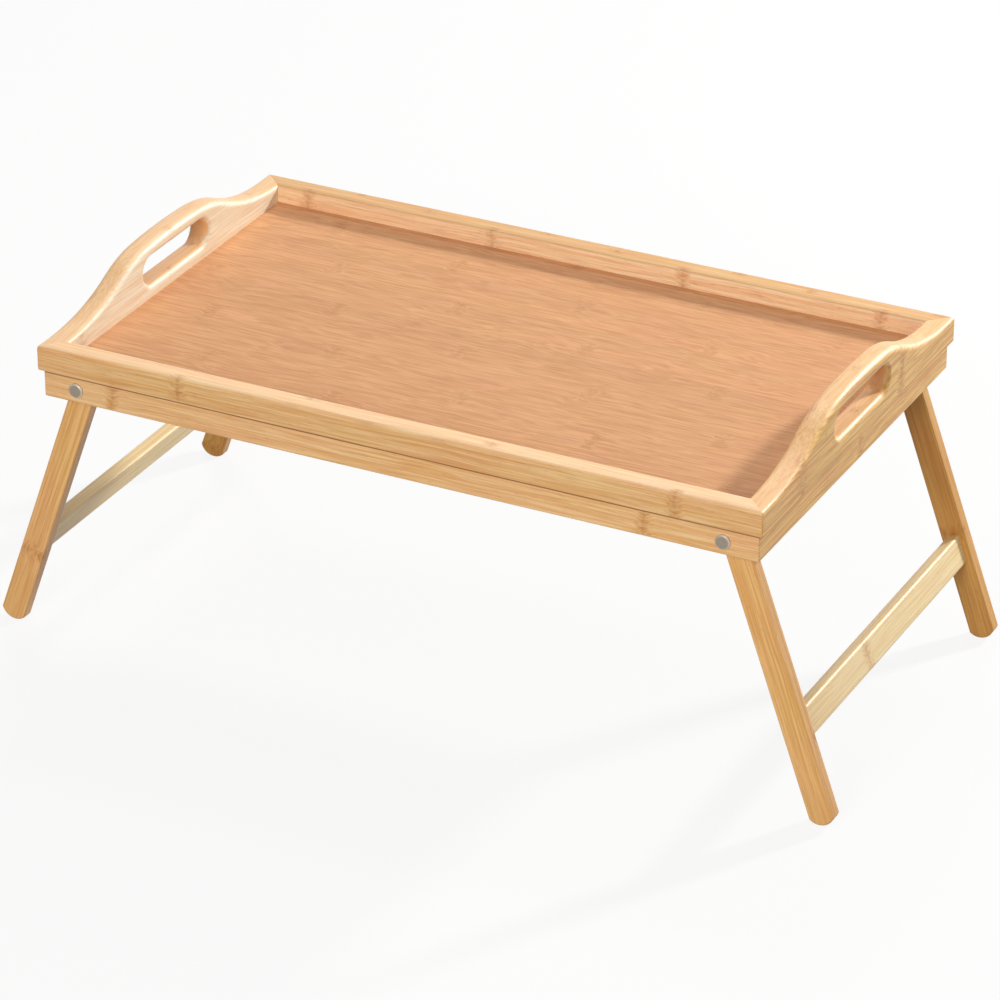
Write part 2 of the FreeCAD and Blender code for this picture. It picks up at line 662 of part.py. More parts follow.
def make_rod(label, diameter, length, start, axis):
    """A plain dowel from a start point along an axis."""
    rod = doc.addObject("Part::Cylinder", label)
    rod.Label = label
    turn = FreeCAD.Rotation(FreeCAD.Vector(0, 0, 1), FreeCAD.Vector(*axis))
    rod.Placement = FreeCAD.Placement(FreeCAD.Vector(), turn)
    x, y, z = start
    bind(rod, Radius=diameter + " / 2", Height=length, Placement__Base__x=x, Placement__Base__y=y,
         Placement__Base__z=z)
    return rod


def corner_dowels(label, half_length, half_width, thickness, diameter, length, height):
    """Four dowels, each square to a mitre and halfway along it."""
    rods = []
    reach = "(%s) / 2 * cos(45)" % length
    for across in (-1, 1):
        for back in (-1, 1):
            start = ("%d * (%s - %s / 2 + %s)" % (across, half_length, thickness, reach),
                     "%d * (%s - %s / 2 - %s)" % (back, half_width, thickness, reach), height)
            rods.append(make_rod("%s_%d" % (label, len(rods) + 1), diameter, length, start,
                                 (-across, back, 0)))
    group(label, rods)


def crossbar_dowels(label, across):
    """Two dowels that hold the ends of a crossbar in the legs."""
    rods = []
    for back in (-1, 1):
        down = "Sizes.crossbar_reach"
        start = ("%d * (Places.pivot_reach + %s * sin(Sizes.leg_splay))" % (across, down),
                 "%d * (Places.leg_inner_face + Sizes.crossbar_dowel_depth)" % back,
                 "Places.pivot_height - %s * cos(Sizes.leg_splay)" % down)
        rods.append(make_rod("%s_%d" % (label, len(rods) + 1), "Sizes.crossbar_dowel_diameter",
                             "Sizes.crossbar_dowel_length", start, (0, -back, 0)))
    group(label, rods)


def at_pivots(label, make, face):
    """One piece at each of the four pivots, with its local +Y pointing into the table."""
    bodies = []
    for across in (-1, 1):
        for back in (-1, 1):
            body = new_body("%s_%d" % (label, len(bodies) + 1))
            make(body)
            place(body, x="%d * Places.pivot_reach" % across, y="%d * %s" % (back, face),
                  z="Places.pivot_height", angle="0" if back < 0 else "180")
            bodies.append(body)
    group(label, bodies)


def revolve(body, sketch, axis):
    feature = body.newObject("PartDesign::Revolution", body.Label + "_turn")
    feature.Profile = sketch
    feature.ReferenceAxis = (sketch, [axis])
    feature.Angle = 360
    doc.recompute()


def bolt_shape(body):
    """A flat round head with a chamfered rim, and a plain shank."""
    half = new_sketch(body, "XY_Plane", body.Label + "_half")
    head, shank = "Sizes.bolt_head_diameter / 2", "Sizes.bolt_diameter / 2"
    polygon(half, [
        ("0", "-Sizes.bolt_head_height"),
        (head + " - Sizes.bolt_head_chamfer", "-Sizes.bolt_head_height"),
        (head, "-Sizes.bolt_head_height + Sizes.bolt_head_chamfer"),
        (head, "0"),
        (shank, "0"),
        (shank, "Places.bolt_length - Sizes.bolt_end_chamfer"),
        (shank + " - Sizes.bolt_end_chamfer", "Places.bolt_length"),
        ("0", "Places.bolt_length"),
    ])
    revolve(body, half, "V_Axis")


def flat_ring(body, thickness):
    """A washer about the local Y axis."""
    sketch = new_sketch(body, "XZ_Plane", body.Label + "_ring")
    outer = "Sizes.washer_diameter / 2"
    inner = "Sizes.bolt_diameter / 2 + Sizes.washer_clearance"
    starts = (sizes["washer_diameter"] / 2, sizes["bolt_diameter"] / 2)
    for number, (radius, start) in enumerate(zip((outer, inner), starts)):
        sketch.addGeometry(Part.Circle(FreeCAD.Vector(), FreeCAD.Vector(0, 0, 1), start), False)
        sketch.addConstraint(Sketcher.Constraint("Coincident", number, 3, -1, 1))
        hold(sketch, "Radius", radius, start, number)
    pad(body, sketch, thickness, flip=True)


def spacer_shape(body):
    flat_ring(body, "Sizes.spacer_thickness")


def washer_shape(body):
    flat_ring(body, "Sizes.washer_thickness")


def nut_shape(body):
    """A hexagon with a round locking collar on its far side."""
    hexagon = new_sketch(body, "XZ_Plane", body.Label + "_hexagon")
    corner = "Sizes.nut_width / 2 / cos(30)"
    polygon(hexagon, [("%s * cos(%d)" % (corner, 60 * i), "%s * sin(%d)" % (corner, 60 * i))
                      for i in range(6)])
    pad(body, hexagon, "Sizes.nut_height", flip=True)
    collar = body.newObject("PartDesign::AdditiveCylinder", body.Label + "_collar")
    collar.Placement = FreeCAD.Placement(
        FreeCAD.Vector(), FreeCAD.Rotation(FreeCAD.Vector(0, 0, 1), FreeCAD.Vector(0, 1, 0)))
    bind(collar, Radius="Sizes.nut_collar_diameter / 2",
         Height="Sizes.nut_height + Sizes.nut_collar_height")
    doc.recompute()
    bore(body, "Sizes.bolt_diameter / 2 + Sizes.pivot_clearance",
         "Sizes.nut_height + Sizes.nut_collar_height + 2 * %g" % CUT_OVER,
         "0", "%g" % -CUT_OVER, "0", (0, 1, 0))


def make_screw(label, x, y):
    """A flat-headed wood screw, point up, with a crossed recess."""
    body = new_body(label)
    half = new_sketch(body, "XZ_Plane", label + "_half")
    head, shank = "Sizes.screw_head_diameter / 2", "Sizes.screw_diameter / 2"
    polygon(half, [
        ("0", "0"),
        (head, "0"),
        (shank, "Sizes.screw_head_height"),
        (shank, "Places.screw_length - Sizes.screw_tip"),
        ("0", "Places.screw_length"),
    ])
    revolve(body, half, "V_Axis")
    for length, width in (("Sizes.screw_recess", "Sizes.screw_recess_width"),
                          ("Sizes.screw_recess_width", "Sizes.screw_recess")):
        slot = body.newObject("PartDesign::SubtractiveBox", label + "_recess")
        bind(slot, Length=length, Width=width, Height="Sizes.screw_recess_depth + %g" % CUT_OVER,
             Placement__Base__x="-%s / 2" % length, Placement__Base__y="-%s / 2" % width,
             Placement__Base__z="%g" % -CUT_OVER)
        doc.recompute()
    place(body, x=x, y=y, z="Places.apron_bottom")
    return body


def apron_screws(label):
    """The screws that hold the apron up against the tray frame."""
    screws = []
    for side in (-1, 1):
        for along in LONG_SCREWS:
            line = "%d * (Sizes.tray_width / 2 - Places.screw_line)" % side
            screws.append(make_screw("%s_%d" % (label, len(screws) + 1), along, line))
        for along in SHORT_SCREWS:
            line = "%d * (Sizes.tray_length / 2 - Places.screw_line)" % side
            screws.append(make_screw("%s_%d" % (label, len(screws) + 1), line, along))
    group(label, screws)


# ---- the table -----------------------------------------------------------------

make_rail("front_rail", -1)
make_rail("back_rail", 1)
make_end_board("left_end_board", -1)
make_end_board("right_end_board", 1)
make_panel()
make_apron("front_apron", -1, True)
make_apron("back_apron", 1, True)
make_apron("left_apron", -1, False)
make_apron("right_apron", 1, False)
corner_dowels("frame_corner_dowels", "Sizes.tray_length / 2", "Sizes.tray_width / 2",
              "Sizes.frame_thickness", "Sizes.frame_dowel_diameter", "Sizes.frame_dowel_length",
              "Places.seam_height + Places.frame_dowel_height")
corner_dowels("apron_corner_dowels", "Places.apron_length / 2", "Places.apron_width / 2",
              "Sizes.apron_thickness", "Sizes.apron_dowel_diameter", "Sizes.apron_dowel_length",
              "Places.apron_bottom + Places.apron_height / 2")
apron_screws("apron_screws")
for across, pair in ((-1, "left"), (1, "right")):
    make_leg("front_%s_leg" % pair, across, -1)
    make_leg("back_%s_leg" % pair, across, 1)
    make_crossbar("%s_crossbar" % pair, across)
    crossbar_dowels("%s_crossbar_dowels" % pair, across)
at_pivots("pivot_bolts", bolt_shape, "Places.apron_face")
at_pivots("leg_spacers", spacer_shape, "(Places.leg_face + Sizes.side_play + Sizes.spacer_thickness)")
at_pivots("nut_washers", washer_shape, "Places.washer_face")
at_pivots("lock_nuts", nut_shape, "Places.nut_face")
doc.recompute()

for thing in doc.Objects:
    if "Invalid" in thing.State or "Error" in thing.State:
        raise ValueError(thing.Label + " failed: " + ", ".join(thing.State))
for node in nodes:
    if node.Shape.isNull() or not node.Shape.isValid():
        raise ValueError(node.Label + " has no valid shape")

os.makedirs("parts", exist_ok=True)
for node in nodes:
    node.Shape.exportStep("parts/%s.step" % node.Label)
    box = node.Shape.BoundBox
    print("%-22s %2d solids %10.1f mm3  z %6.1f to %6.1f" % (
        node.Label, len(node.Shape.Solids), node.Shape.Volume, box.ZMin, box.ZMax))
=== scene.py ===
import json
from math import cos, pi, radians, sin

import bpy
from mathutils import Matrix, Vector


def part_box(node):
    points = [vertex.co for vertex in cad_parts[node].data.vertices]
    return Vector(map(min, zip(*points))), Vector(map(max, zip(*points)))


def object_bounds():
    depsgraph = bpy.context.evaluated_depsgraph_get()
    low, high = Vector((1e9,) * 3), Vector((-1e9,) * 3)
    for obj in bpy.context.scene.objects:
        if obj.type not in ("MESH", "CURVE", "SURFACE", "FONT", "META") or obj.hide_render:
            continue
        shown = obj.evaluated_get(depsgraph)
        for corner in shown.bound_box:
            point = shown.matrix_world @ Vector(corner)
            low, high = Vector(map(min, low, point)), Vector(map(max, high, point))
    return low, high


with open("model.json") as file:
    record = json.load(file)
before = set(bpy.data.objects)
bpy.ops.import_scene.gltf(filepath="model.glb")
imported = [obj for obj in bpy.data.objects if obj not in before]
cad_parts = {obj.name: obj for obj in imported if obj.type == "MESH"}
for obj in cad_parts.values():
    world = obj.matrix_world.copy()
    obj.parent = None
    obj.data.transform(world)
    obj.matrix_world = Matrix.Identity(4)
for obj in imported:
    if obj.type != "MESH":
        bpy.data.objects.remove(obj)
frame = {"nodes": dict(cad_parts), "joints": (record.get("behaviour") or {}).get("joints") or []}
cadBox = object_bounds()
nodes = frame["nodes"]
toMm = 1000  # Blender's metres to the millimetres that the patterns are drawn in
print("frame loaded:", len(nodes), "nodes")


def linear(hexColour):
    shares = [int(hexColour[i:i + 2], 16) / 255 for i in (1, 3, 5)]
    return [s / 12.92 if s <= 0.04045 else ((s + 0.055) / 1.055) ** 2.4 for s in shares] + [1]


def addNode(tree, kind, settings=None, inputs=None):
    node = tree.nodes.new("ShaderNode" + kind)
    for name, value in (settings or {}).items():
        setattr(node, name, value)
    for name, value in (inputs or {}).items():
        if isinstance(value, bpy.types.NodeSocket):
            tree.links.new(value, node.inputs[name])
        else:
            node.inputs[name].default_value = value
    return node


def newMaterial(name):
    material = bpy.data.materials.new(name)
    material.use_nodes = True
    material.node_tree.nodes.clear()
    return material


def dress(nodeName, material):
    mesh = nodes[nodeName].data
    mesh.materials.clear()
    mesh.materials.append(material)


# Camera: the photo's viewing angle, found from the tray's corners. Degrees, metres, and mm for the lens
camera = {
    "azimuth": 26.8,  # from straight in front towards the right end
    "elevation": 27.7,
    "distance": 3.106,
    "aim": (0.0104, -0.0184, 0.1035),
    "sensor": 36,
    "lens": 174.9,
}


def standOff(azimuth, elevation):
    a, e = radians(azimuth), radians(elevation)
    return Vector((sin(a) * cos(e), -cos(a) * cos(e), sin(e)))


def place(thing, aim, away, distance):
    thing.location = aim + away * distance
    thing.rotation_mode = "QUATERNION"
    thing.rotation_quaternion = (-away).to_track_quat("-Z", "Y")
    bpy.context.collection.objects.link(thing)


cameraData = bpy.data.cameras.new("camera")
cameraData.sensor_width = camera["sensor"]
cameraData.lens = camera["lens"]
cameraObject = bpy.data.objects.new("camera", cameraData)
viewFrom = standOff(camera["azimuth"], camera["elevation"])
place(cameraObject, Vector(camera["aim"]), viewFrom, camera["distance"])
bpy.context.scene.camera = cameraObject
bpy.context.scene.view_settings.view_transform = "Standard"
print("camera set")

# Studio light. A level of 1 shows a white card that faces the lamp as plain white
lamps = {
    "keyBackRight": {"level": 0.81, "azimuth": 150, "elevation": 26.4, "distance": 2.2, "across": 0.22},
    "backLeft": {"level": 0.19, "azimuth": -152, "elevation": 56, "distance": 2.2, "across": 0.5},
    "frontFill": {"level": 0.56, "azimuth": 6, "elevation": 24, "distance": 2.6, "across": 1.2},
    "sheenCard": {"level": 0.87, "azimuth": 152, "elevation": 22, "distance": 2.2, "across": 2.6,
                  "lights": False},  # a card that only shows in the lacquer's sheen
}
surround = {"colour": "#FFFFFF", "level": 0.28, "backdrop": 1.0}  # the level lights, the backdrop is seen

centre = (cadBox[0] + cadBox[1]) / 2
for name, lamp in lamps.items():
    data = bpy.data.lights.new(name, "AREA")
    data.shape = "DISK"
    data.size = lamp["across"]
    data.energy = lamp["level"] * (pi * lamp["distance"]) ** 2
    lampObject = bpy.data.objects.new(name, data)
    lampObject.visible_diffuse = lamp.get("lights", True)
    place(lampObject, centre, standOff(lamp["azimuth"], lamp["elevation"]), lamp["distance"])


# 1 for what the camera, gloss and clear things see, and 0 for light that falls on things
def seenDirectly(tree):
    path = addNode(tree, "LightPath").outputs
    cameraOrGloss = addNode(tree, "Math", {"operation": "MAXIMUM"},
                            {0: path["Is Camera Ray"], 1: path["Is Glossy Ray"]})
    seen = addNode(tree, "Math", {"operation": "MAXIMUM"},
                   {0: cameraOrGloss.outputs[0], 1: path["Is Transmission Ray"]})
    return seen.outputs[0]


world = bpy.data.worlds.new("studio")
bpy.context.scene.world = world
world.use_nodes = True
tree = world.node_tree
tree.nodes.clear()
strength = addNode(tree, "MapRange", None,
                   {"Value": seenDirectly(tree), "To Min": surround["level"], "To Max": surround["backdrop"]})
sky = addNode(tree, "Background", None,
              {"Color": linear(surround["colour"]), "Strength": strength.outputs[0]})
addNode(tree, "OutputWorld", None, {"Surface": sky.outputs[0]})

# Floor: matt white board, even and pale. The camera sees it mostly as plain white, with a light shadow in it
floor = {"size": 8, "colour": "#EDEDEB", "bounceColour": "#A6A5A3", "whiteShare": 0.87}

bpy.ops.mesh.primitive_plane_add(size=floor["size"])
floorObject = bpy.context.object
floorObject.name = "floor"
material = newMaterial("mattWhiteBoard")
tree = material.node_tree
seen = seenDirectly(tree)
share = addNode(tree, "Math", {"operation": "MULTIPLY"}, {0: seen, 1: floor["whiteShare"]})
boardColour = addNode(tree, "Mix", {"data_type": "RGBA"},
                      {0: seen, 6: linear(floor["bounceColour"]), 7: linear(floor["colour"])})
board = addNode(tree, "BsdfDiffuse", None, {"Color": boardColour.outputs[2]})
white = addNode(tree, "Emission", None,
                {"Color": linear(surround["colour"]), "Strength": surround["backdrop"]})
seenBoard = addNode(tree, "MixShader", None, {0: share.outputs[0], 1: board.outputs[0], 2: white.outputs[0]})
clear = addNode(tree, "BsdfTransparent")  # from below the board is open, so that the underside shows
boardSide = addNode(tree, "NewGeometry")
surface = addNode(tree, "MixShader", None,
                  {0: boardSide.outputs["Backfacing"], 1: seenBoard.outputs[0], 2: clear.outputs[0]})
addNode(tree, "OutputMaterial", None, {"Surface": surface.outputs[0]})
floorObject.data.materials.append(material)
print("lights and floor set")

# Bamboo grain, shared by every bamboo piece. X runs along the fibres and Y through the glued strips, in mm
grain = {
    "streak": (80, 1.5),  # length and width of the tone streaks
    "fibre": (26, 0.8),  # fibre bundles are 0.3 to 0.5 mm wide: drawn coarser so that they show
    "dash": (6, 1.0),  # cut ends of bundles, 0.3 mm in truth
    "cloud": (70, 22),  # soft warmer and yellower patches
    "wave": (60, 24),  # the slow wave that all fibres follow
    "ragged": (25, 11),  # what makes a knuckle's edge uneven
    "stray": 3.5,  # how far that edge strays to either side
    "bend": 3,  # how far the fibres stray at a knuckle
    "knuckleHalf": 8,  # from the knuckle's middle to the end of its dark bruise
    "scarHalf": 1.6,  # the line that crosses the strip at a knuckle
    "scarCore": 0.2,  # and the middle of that line, where it is full
    "layerStep": 0.37,  # share of the pitch by which the next strip's knuckles are shifted
    "bruiseShare": 0.6,  # how much of the bruise colour a bruise takes
    "scarShare": 0.22,  # and what the scar adds to that
}
# How each noise is read: between which of its values a mark grows, and from what strength to what
reading = {
    "streak": {"From Min": 0.36, "From Max": 0.64},
    "fibre": {"From Min": 0.48, "From Max": 0.75, "To Max": 0.5},
    "dash": {"From Min": 0.60, "From Max": 0.72, "To Max": 0.35},
    "patchy": {"From Min": 0.35, "From Max": 0.65, "To Min": 0.2},
    "hue": {"From Min": 0.3, "From Max": 0.7, "To Min": -0.006, "To Max": 0.006},
    "strip": {"To Min": 0.95, "To Max": 1.04},  # one strip is a little darker than the next
}


def makeGrainGroup():
    group = bpy.data.node_groups.new("bambooGrain", "ShaderNodeTree")
    sockets = {"Place": "Vector", "Seed": "Float", "Face": "Float", "Layer": "Float", "Pitch": "Float",
               "First": "Float", "Short": "Float", "Drift": "Float", "Wave": "Float", "Contrast": "Float",
               "Knuckle": "Float", "Pale": "Color", "Tan": "Color", "Brown": "Color", "Bruise": "Color"}
    for name, kind in sockets.items():
        group.interface.new_socket(name=name, in_out="INPUT", socket_type="NodeSocket" + kind)
    for name, kind in {"Colour": "Color", "Height": "Float"}.items():
        group.interface.new_socket(name=name, in_out="OUTPUT", socket_type="NodeSocket" + kind)
    given = group.nodes.new("NodeGroupInput").outputs
    xyz = addNode(group, "SeparateXYZ", None, {0: given["Place"]}).outputs

    # which glued strip a point lies in, counted from the visible face
    depth = addNode(group, "Math", {"operation": "SUBTRACT"}, {0: xyz["Y"], 1: given["Face"]})
    layers = addNode(group, "Math", {"operation": "DIVIDE"}, {0: depth.outputs[0], 1: given["Layer"]})
    layer = addNode(group, "Math", {"operation": "FLOOR"}, {0: layers.outputs[0]})
    layerSeed = addNode(group, "Math", {"operation": "ADD"}, {0: layer.outputs[0], 1: given["Seed"]})
    tone = addNode(group, "TexWhiteNoise", {"noise_dimensions": "1D"}, {"W": layerSeed.outputs[0]})

    # two slow noises: one for a knuckle's edge, one for the wave of the fibres
    drawn = {}
    for name, detail in {"ragged": 2, "wave": 1}.items():
        long, wide = grain[name]
        sized = addNode(group, "VectorMath", {"operation": "MULTIPLY"},
                        {0: given["Place"], 1: (1 / long, 1 / wide, 1 / wide)})
        drawn[name] = addNode(group, "TexNoise", {"noise_dimensions": "4D"}, {
            "Vector": sized.outputs[0], "W": given["Seed"], "Scale": 1, "Detail": detail})

    # knuckles: the distance along the fibres to the nearest one, with an uneven edge
    stray = addNode(group, "MapRange", None, {
        "Value": drawn["ragged"].outputs[0], "To Min": -grain["stray"], "To Max": grain["stray"]})
    step = addNode(group, "Math", {"operation": "MULTIPLY"}, {0: given["Pitch"], 1: grain["layerStep"]})
    shift = addNode(group, "Math", {"operation": "MULTIPLY"}, {0: layer.outputs[0], 1: step.outputs[0]})
    along = addNode(group, "Math", {"operation": "SUBTRACT"}, {0: xyz["X"], 1: given["First"]})
    shifted = addNode(group, "Math", {"operation": "ADD"}, {0: along.outputs[0], 1: shift.outputs[0]})
    strayed = addNode(group, "Math", {"operation": "ADD"}, {0: shifted.outputs[0], 1: stray.outputs[0]})
    halfPitch = addNode(group, "Math", {"operation": "MULTIPLY"}, {0: given["Pitch"], 1: 0.5})
    near = addNode(group, "Math", {"operation": "PINGPONG"}, {0: strayed.outputs[0], 1: halfPitch.outputs[0]})
    bruise = addNode(group, "MapRange", {"interpolation_type": "SMOOTHSTEP"},
                     {"Value": near.outputs[0], "From Min": grain["knuckleHalf"], "From Max": 0})
    scar = addNode(group, "MapRange", {"interpolation_type": "SMOOTHSTEP"}, {
        "Value": near.outputs[0], "From Min": grain["scarHalf"], "From Max": grain["scarCore"]})

    # the fibres wave a little everywhere and stray at the knuckles
    wave = addNode(group, "Math", {"operation": "MULTIPLY"}, {0: drawn["wave"].outputs[0], 1: given["Wave"]})
    bending = addNode(group, "Math", {"operation": "MULTIPLY"}, {0: bruise.outputs[0], 1: grain["bend"]})
    bent = addNode(group, "Math", {"operation": "MULTIPLY_ADD"},
                   {0: drawn["ragged"].outputs[0], 1: bending.outputs[0], 2: wave.outputs[0]})
    sideways = addNode(group, "CombineXYZ", None, {"Y": bent.outputs[0], "Z": bent.outputs[0]})
    moved = addNode(group, "VectorMath", {"operation": "ADD"}, {0: given["Place"], 1: sideways.outputs[0]})
    shorter = addNode(group, "CombineXYZ", None, {"X": given["Short"], "Y": 1, "Z": 1})
    shortened = addNode(group, "VectorMath", {"operation": "MULTIPLY"},
                        {0: moved.outputs[0], 1: shorter.outputs[0]})

    # streaks, fibres, short dashes and clouds are one noise at four real sizes
    for name in ("streak", "fibre", "dash", "cloud"):
        long, wide = grain[name]
        sized = addNode(group, "VectorMath", {"operation": "MULTIPLY"},
                        {0: shortened.outputs[0], 1: (1 / long, 1 / wide, 1 / wide)})
        drawn[name] = addNode(group, "TexNoise", {"noise_dimensions": "4D"}, {
            "Vector": sized.outputs[0], "W": layerSeed.outputs[0], "Scale": 1, "Detail": 2})
    read = {}
    for name, noise in {"streak": "streak", "fibre": "fibre", "dash": "dash", "patchy": "dash",
                        "hue": "cloud"}.items():
        read[name] = addNode(group, "MapRange", None, {"Value": drawn[noise].outputs[0], **reading[name]})
    dark = addNode(group, "Math", {"operation": "ADD"},
                   {0: read["fibre"].outputs[0], 1: read["dash"].outputs[0]})
    darkShare = addNode(group, "Math", {"operation": "MULTIPLY"}, {0: dark.outputs[0], 1: given["Contrast"]})
    bruised = addNode(group, "Math", {"operation": "MULTIPLY"},
                      {0: bruise.outputs[0], 1: read["patchy"].outputs[0]})
    scarred = addNode(group, "Math", {"operation": "MULTIPLY"},
                      {0: scar.outputs[0], 1: read["patchy"].outputs[0]})
    scarShare = addNode(group, "Math", {"operation": "MULTIPLY"},
                        {0: scarred.outputs[0], 1: grain["scarShare"]})
    marks = addNode(group, "Math", {"operation": "MULTIPLY_ADD"},
                    {0: bruised.outputs[0], 1: grain["bruiseShare"], 2: scarShare.outputs[0]})
    markShare = addNode(group, "Math", {"operation": "MULTIPLY"}, {0: marks.outputs[0], 1: given["Knuckle"]})

    # colours: tan to pale in streaks, brown fibres over them, then bruises and the drift of hue
    streaked = addNode(group, "Mix", {"data_type": "RGBA"},
                       {0: read["streak"].outputs[0], 6: given["Tan"], 7: given["Pale"]})
    fibrous = addNode(group, "Mix", {"data_type": "RGBA"},
                      {0: darkShare.outputs[0], 6: streaked.outputs[2], 7: given["Brown"]})
    marked = addNode(group, "Mix", {"data_type": "RGBA"},
                     {0: markShare.outputs[0], 6: fibrous.outputs[2], 7: given["Bruise"]})
    hueShift = addNode(group, "Math", {"operation": "MULTIPLY_ADD"},
                       {0: read["hue"].outputs[0], 1: given["Drift"], 2: 0.5})  # a hue of 0.5 changes nothing
    value = addNode(group, "MapRange", None, {"Value": tone.outputs[0], **reading["strip"]})
    tinted = addNode(group, "HueSaturation", None,
                     {"Hue": hueShift.outputs[0], "Value": value.outputs[0], "Color": marked.outputs[2]})
    relief = addNode(group, "Math", {"operation": "SUBTRACT"},
                     {0: drawn["fibre"].outputs[0], 1: scarred.outputs[0]})
    result = group.nodes.new("NodeGroupOutput").inputs
    group.links.new(tinted.outputs[0], result["Colour"])
    group.links.new(relief.outputs[0], result["Height"])
    return group


grainGroup = makeGrainGroup()

# Where a face counts as horizontal, which takes the painted sheen tones, or as an end cut across the fibres,
# from the slant of its normal
faces = {
    "edge": (0.5, 0.95),
    "end": (0.5, 0.9),
    "behind": 0.95,  # how far into the first strip the tone of the ones behind it begins
    "endContrast": 0.2,  # how much of the pattern is left on an end
}


def whichFace(tree, where, turned, piece):
    normal = addNode(tree, "SeparateXYZ", None, {0: where["Normal"]})
    upright = addNode(tree, "Math", {"operation": "ABSOLUTE"}, {0: normal.outputs["Z"]})
    onHorizontal = addNode(tree, "MapRange", {"interpolation_type": "SMOOTHSTEP"}, {
        "Value": upright.outputs[0], "From Min": faces["edge"][0], "From Max": faces["edge"][1]})
    facing = addNode(tree, "Mapping", {"vector_type": "VECTOR"},
                     {"Vector": where["Normal"], "Rotation": piece["turn"]})
    fibreways = addNode(tree, "SeparateXYZ", None, {0: facing.outputs[0]})
    squarely = addNode(tree, "Math", {"operation": "ABSOLUTE"}, {0: fibreways.outputs["X"]})
    onEnd = addNode(tree, "MapRange", {"interpolation_type": "SMOOTHSTEP"}, {
        "Value": squarely.outputs[0], "From Min": faces["end"][0], "From Max": faces["end"][1]})
    deep = addNode(tree, "SeparateXYZ", None, {0: turned})
    strips = addNode(tree, "MapRange", {"clamp": False}, {
        "Value": deep.outputs["Y"], "From Min": piece["face"], "From Max": piece["face"] + piece["layer"]})
    counted = addNode(tree, "Math", {"operation": "ABSOLUTE"}, {0: strips.outputs[0]})
    behind = addNode(tree, "MapRange", None, {"Value": counted.outputs[0], "From Min": faces["behind"]})
    return onHorizontal.outputs[0], onEnd.outputs[0], behind.outputs[0]


# Painted shade: a dark band in the colour along the joint between the tray frame and its apron, standing in
# for the shadow under the frame's overhang. In mm below and above it
joint = {"colour": "#8A5220", "share": 0.85, "below": 2.4, "above": 0.4, "fade": 0.5}
joint["half"] = (joint["below"] + joint["above"]) / 2
joint["middle"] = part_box("front_apron")[1][2] * toMm - (joint["below"] - joint["above"]) / 2


# Darkens the colour in a band round the frame-apron joint: painted shade
def paintJointShade(tree, where, colour):
    height = addNode(tree, "SeparateXYZ", None, {0: where["Object"]})
    fromJoint = addNode(tree, "Math", {"operation": "MULTIPLY_ADD"},
                        {0: height.outputs["Z"], 1: toMm, 2: -joint["middle"]})
    away = addNode(tree, "Math", {"operation": "ABSOLUTE"}, {0: fromJoint.outputs[0]})
    inJointShade = addNode(tree, "MapRange", None, {
        "Value": away.outputs[0], "From Min": joint["half"], "From Max": joint["half"] - joint["fade"],
        "To Max": joint["share"]})
    darkened = addNode(tree, "Mix", {"data_type": "RGBA"},
                       {0: inJointShade.outputs[0], 6: colour, 7: linear(joint["colour"])})
    return darkened.outputs[2]


# Lacquer: a clear satin coat that lets the fibres be felt a little
lacquer = {"ior": 1.5, "relief": 0.3, "reliefMm": 0.05}


def bamboo(name, look, piece):
    material = newMaterial(name)
    tree = material.node_tree
    where = addNode(tree, "TexCoord").outputs
    turned = addNode(tree, "Mapping", None,
                     {"Vector": where["Object"], "Rotation": piece["turn"], "Scale": (toMm,) * 3})
    onHorizontal, onEnd, behind = whichFace(tree, where, turned.outputs[0], piece)
    tones = {}
    # horizontal faces take the painted sheen tones where a look gives them, ends take the end-grain colour
    for tone in ("pale", "tan"):
        front = linear(look[tone])
        back = linear(look.get("back" + tone.capitalize(), look[tone]))
        edge = linear(look.get("edge" + tone.capitalize(), look[tone]))
        flat = addNode(tree, "Mix", {"data_type": "RGBA"}, {0: behind, 6: front, 7: back})
        sawn = addNode(tree, "Mix", {"data_type": "RGBA"}, {0: onHorizontal, 6: flat.outputs[2], 7: edge})
        tones[tone] = addNode(tree, "Mix", {"data_type": "RGBA"},
                              {0: onEnd, 6: sawn.outputs[2], 7: linear(look["end"])})
    strong = addNode(tree, "MapRange", None, {
        "Value": onHorizontal, "To Min": look["contrast"], "To Max": look["contrast"] * look["edgeContrast"]})
    plain = addNode(tree, "MapRange", None, {"Value": onEnd, "To Min": 1, "To Max": faces["endContrast"]})
    contrast = addNode(tree, "Math", {"operation": "MULTIPLY"}, {0: strong.outputs[0], 1: plain.outputs[0]})
    knuckle = addNode(tree, "Math", {"operation": "MULTIPLY"}, {0: plain.outputs[0], 1: look["knuckle"]})
    pattern = addNode(tree, "Group", {"node_tree": grainGroup}, {
        "Place": turned.outputs[0], "Seed": piece["seed"], "Face": piece["face"], "Layer": piece["layer"],
        "Pitch": piece["pitch"], "First": piece["first"], "Short": look["short"], "Drift": look["drift"],
        "Wave": look["wave"], "Contrast": contrast.outputs[0], "Knuckle": knuckle.outputs[0],
        "Pale": tones["pale"].outputs[2], "Tan": tones["tan"].outputs[2],
        "Brown": linear(look["brown"]), "Bruise": linear(look["bruise"])})
    relief = addNode(tree, "Bump", None, {
        "Strength": lacquer["relief"], "Distance": lacquer["reliefMm"] / toMm,
        "Height": pattern.outputs["Height"]})
    # the base colour carries the painted shade at the frame-apron joint
    surface = addNode(tree, "BsdfPrincipled", None, {
        "Base Color": paintJointShade(tree, where, pattern.outputs["Colour"]), "Roughness": look["roughness"],
        "IOR": lacquer["ior"], "Specular IOR Level": look["specular"], "Coat Weight": look["coat"],
        "Coat Roughness": look["coatRoughness"], "Normal": relief.outputs[0]})
    addNode(tree, "OutputMaterial", None, {"Surface": surface.outputs[0]})
    dress(piece["node"], material)


# How a piece is cut: turn brings its fibres onto X. In mm, face is where its visible face lies across the
# strips, pitch is from knuckle to knuckle and first is the place of one of them. Each seed is another cane
alongX = (0, 0, 0)
alongY = (0, 0, -pi / 2)
layerMm = 5.2  # thickness of one glued bamboo strip

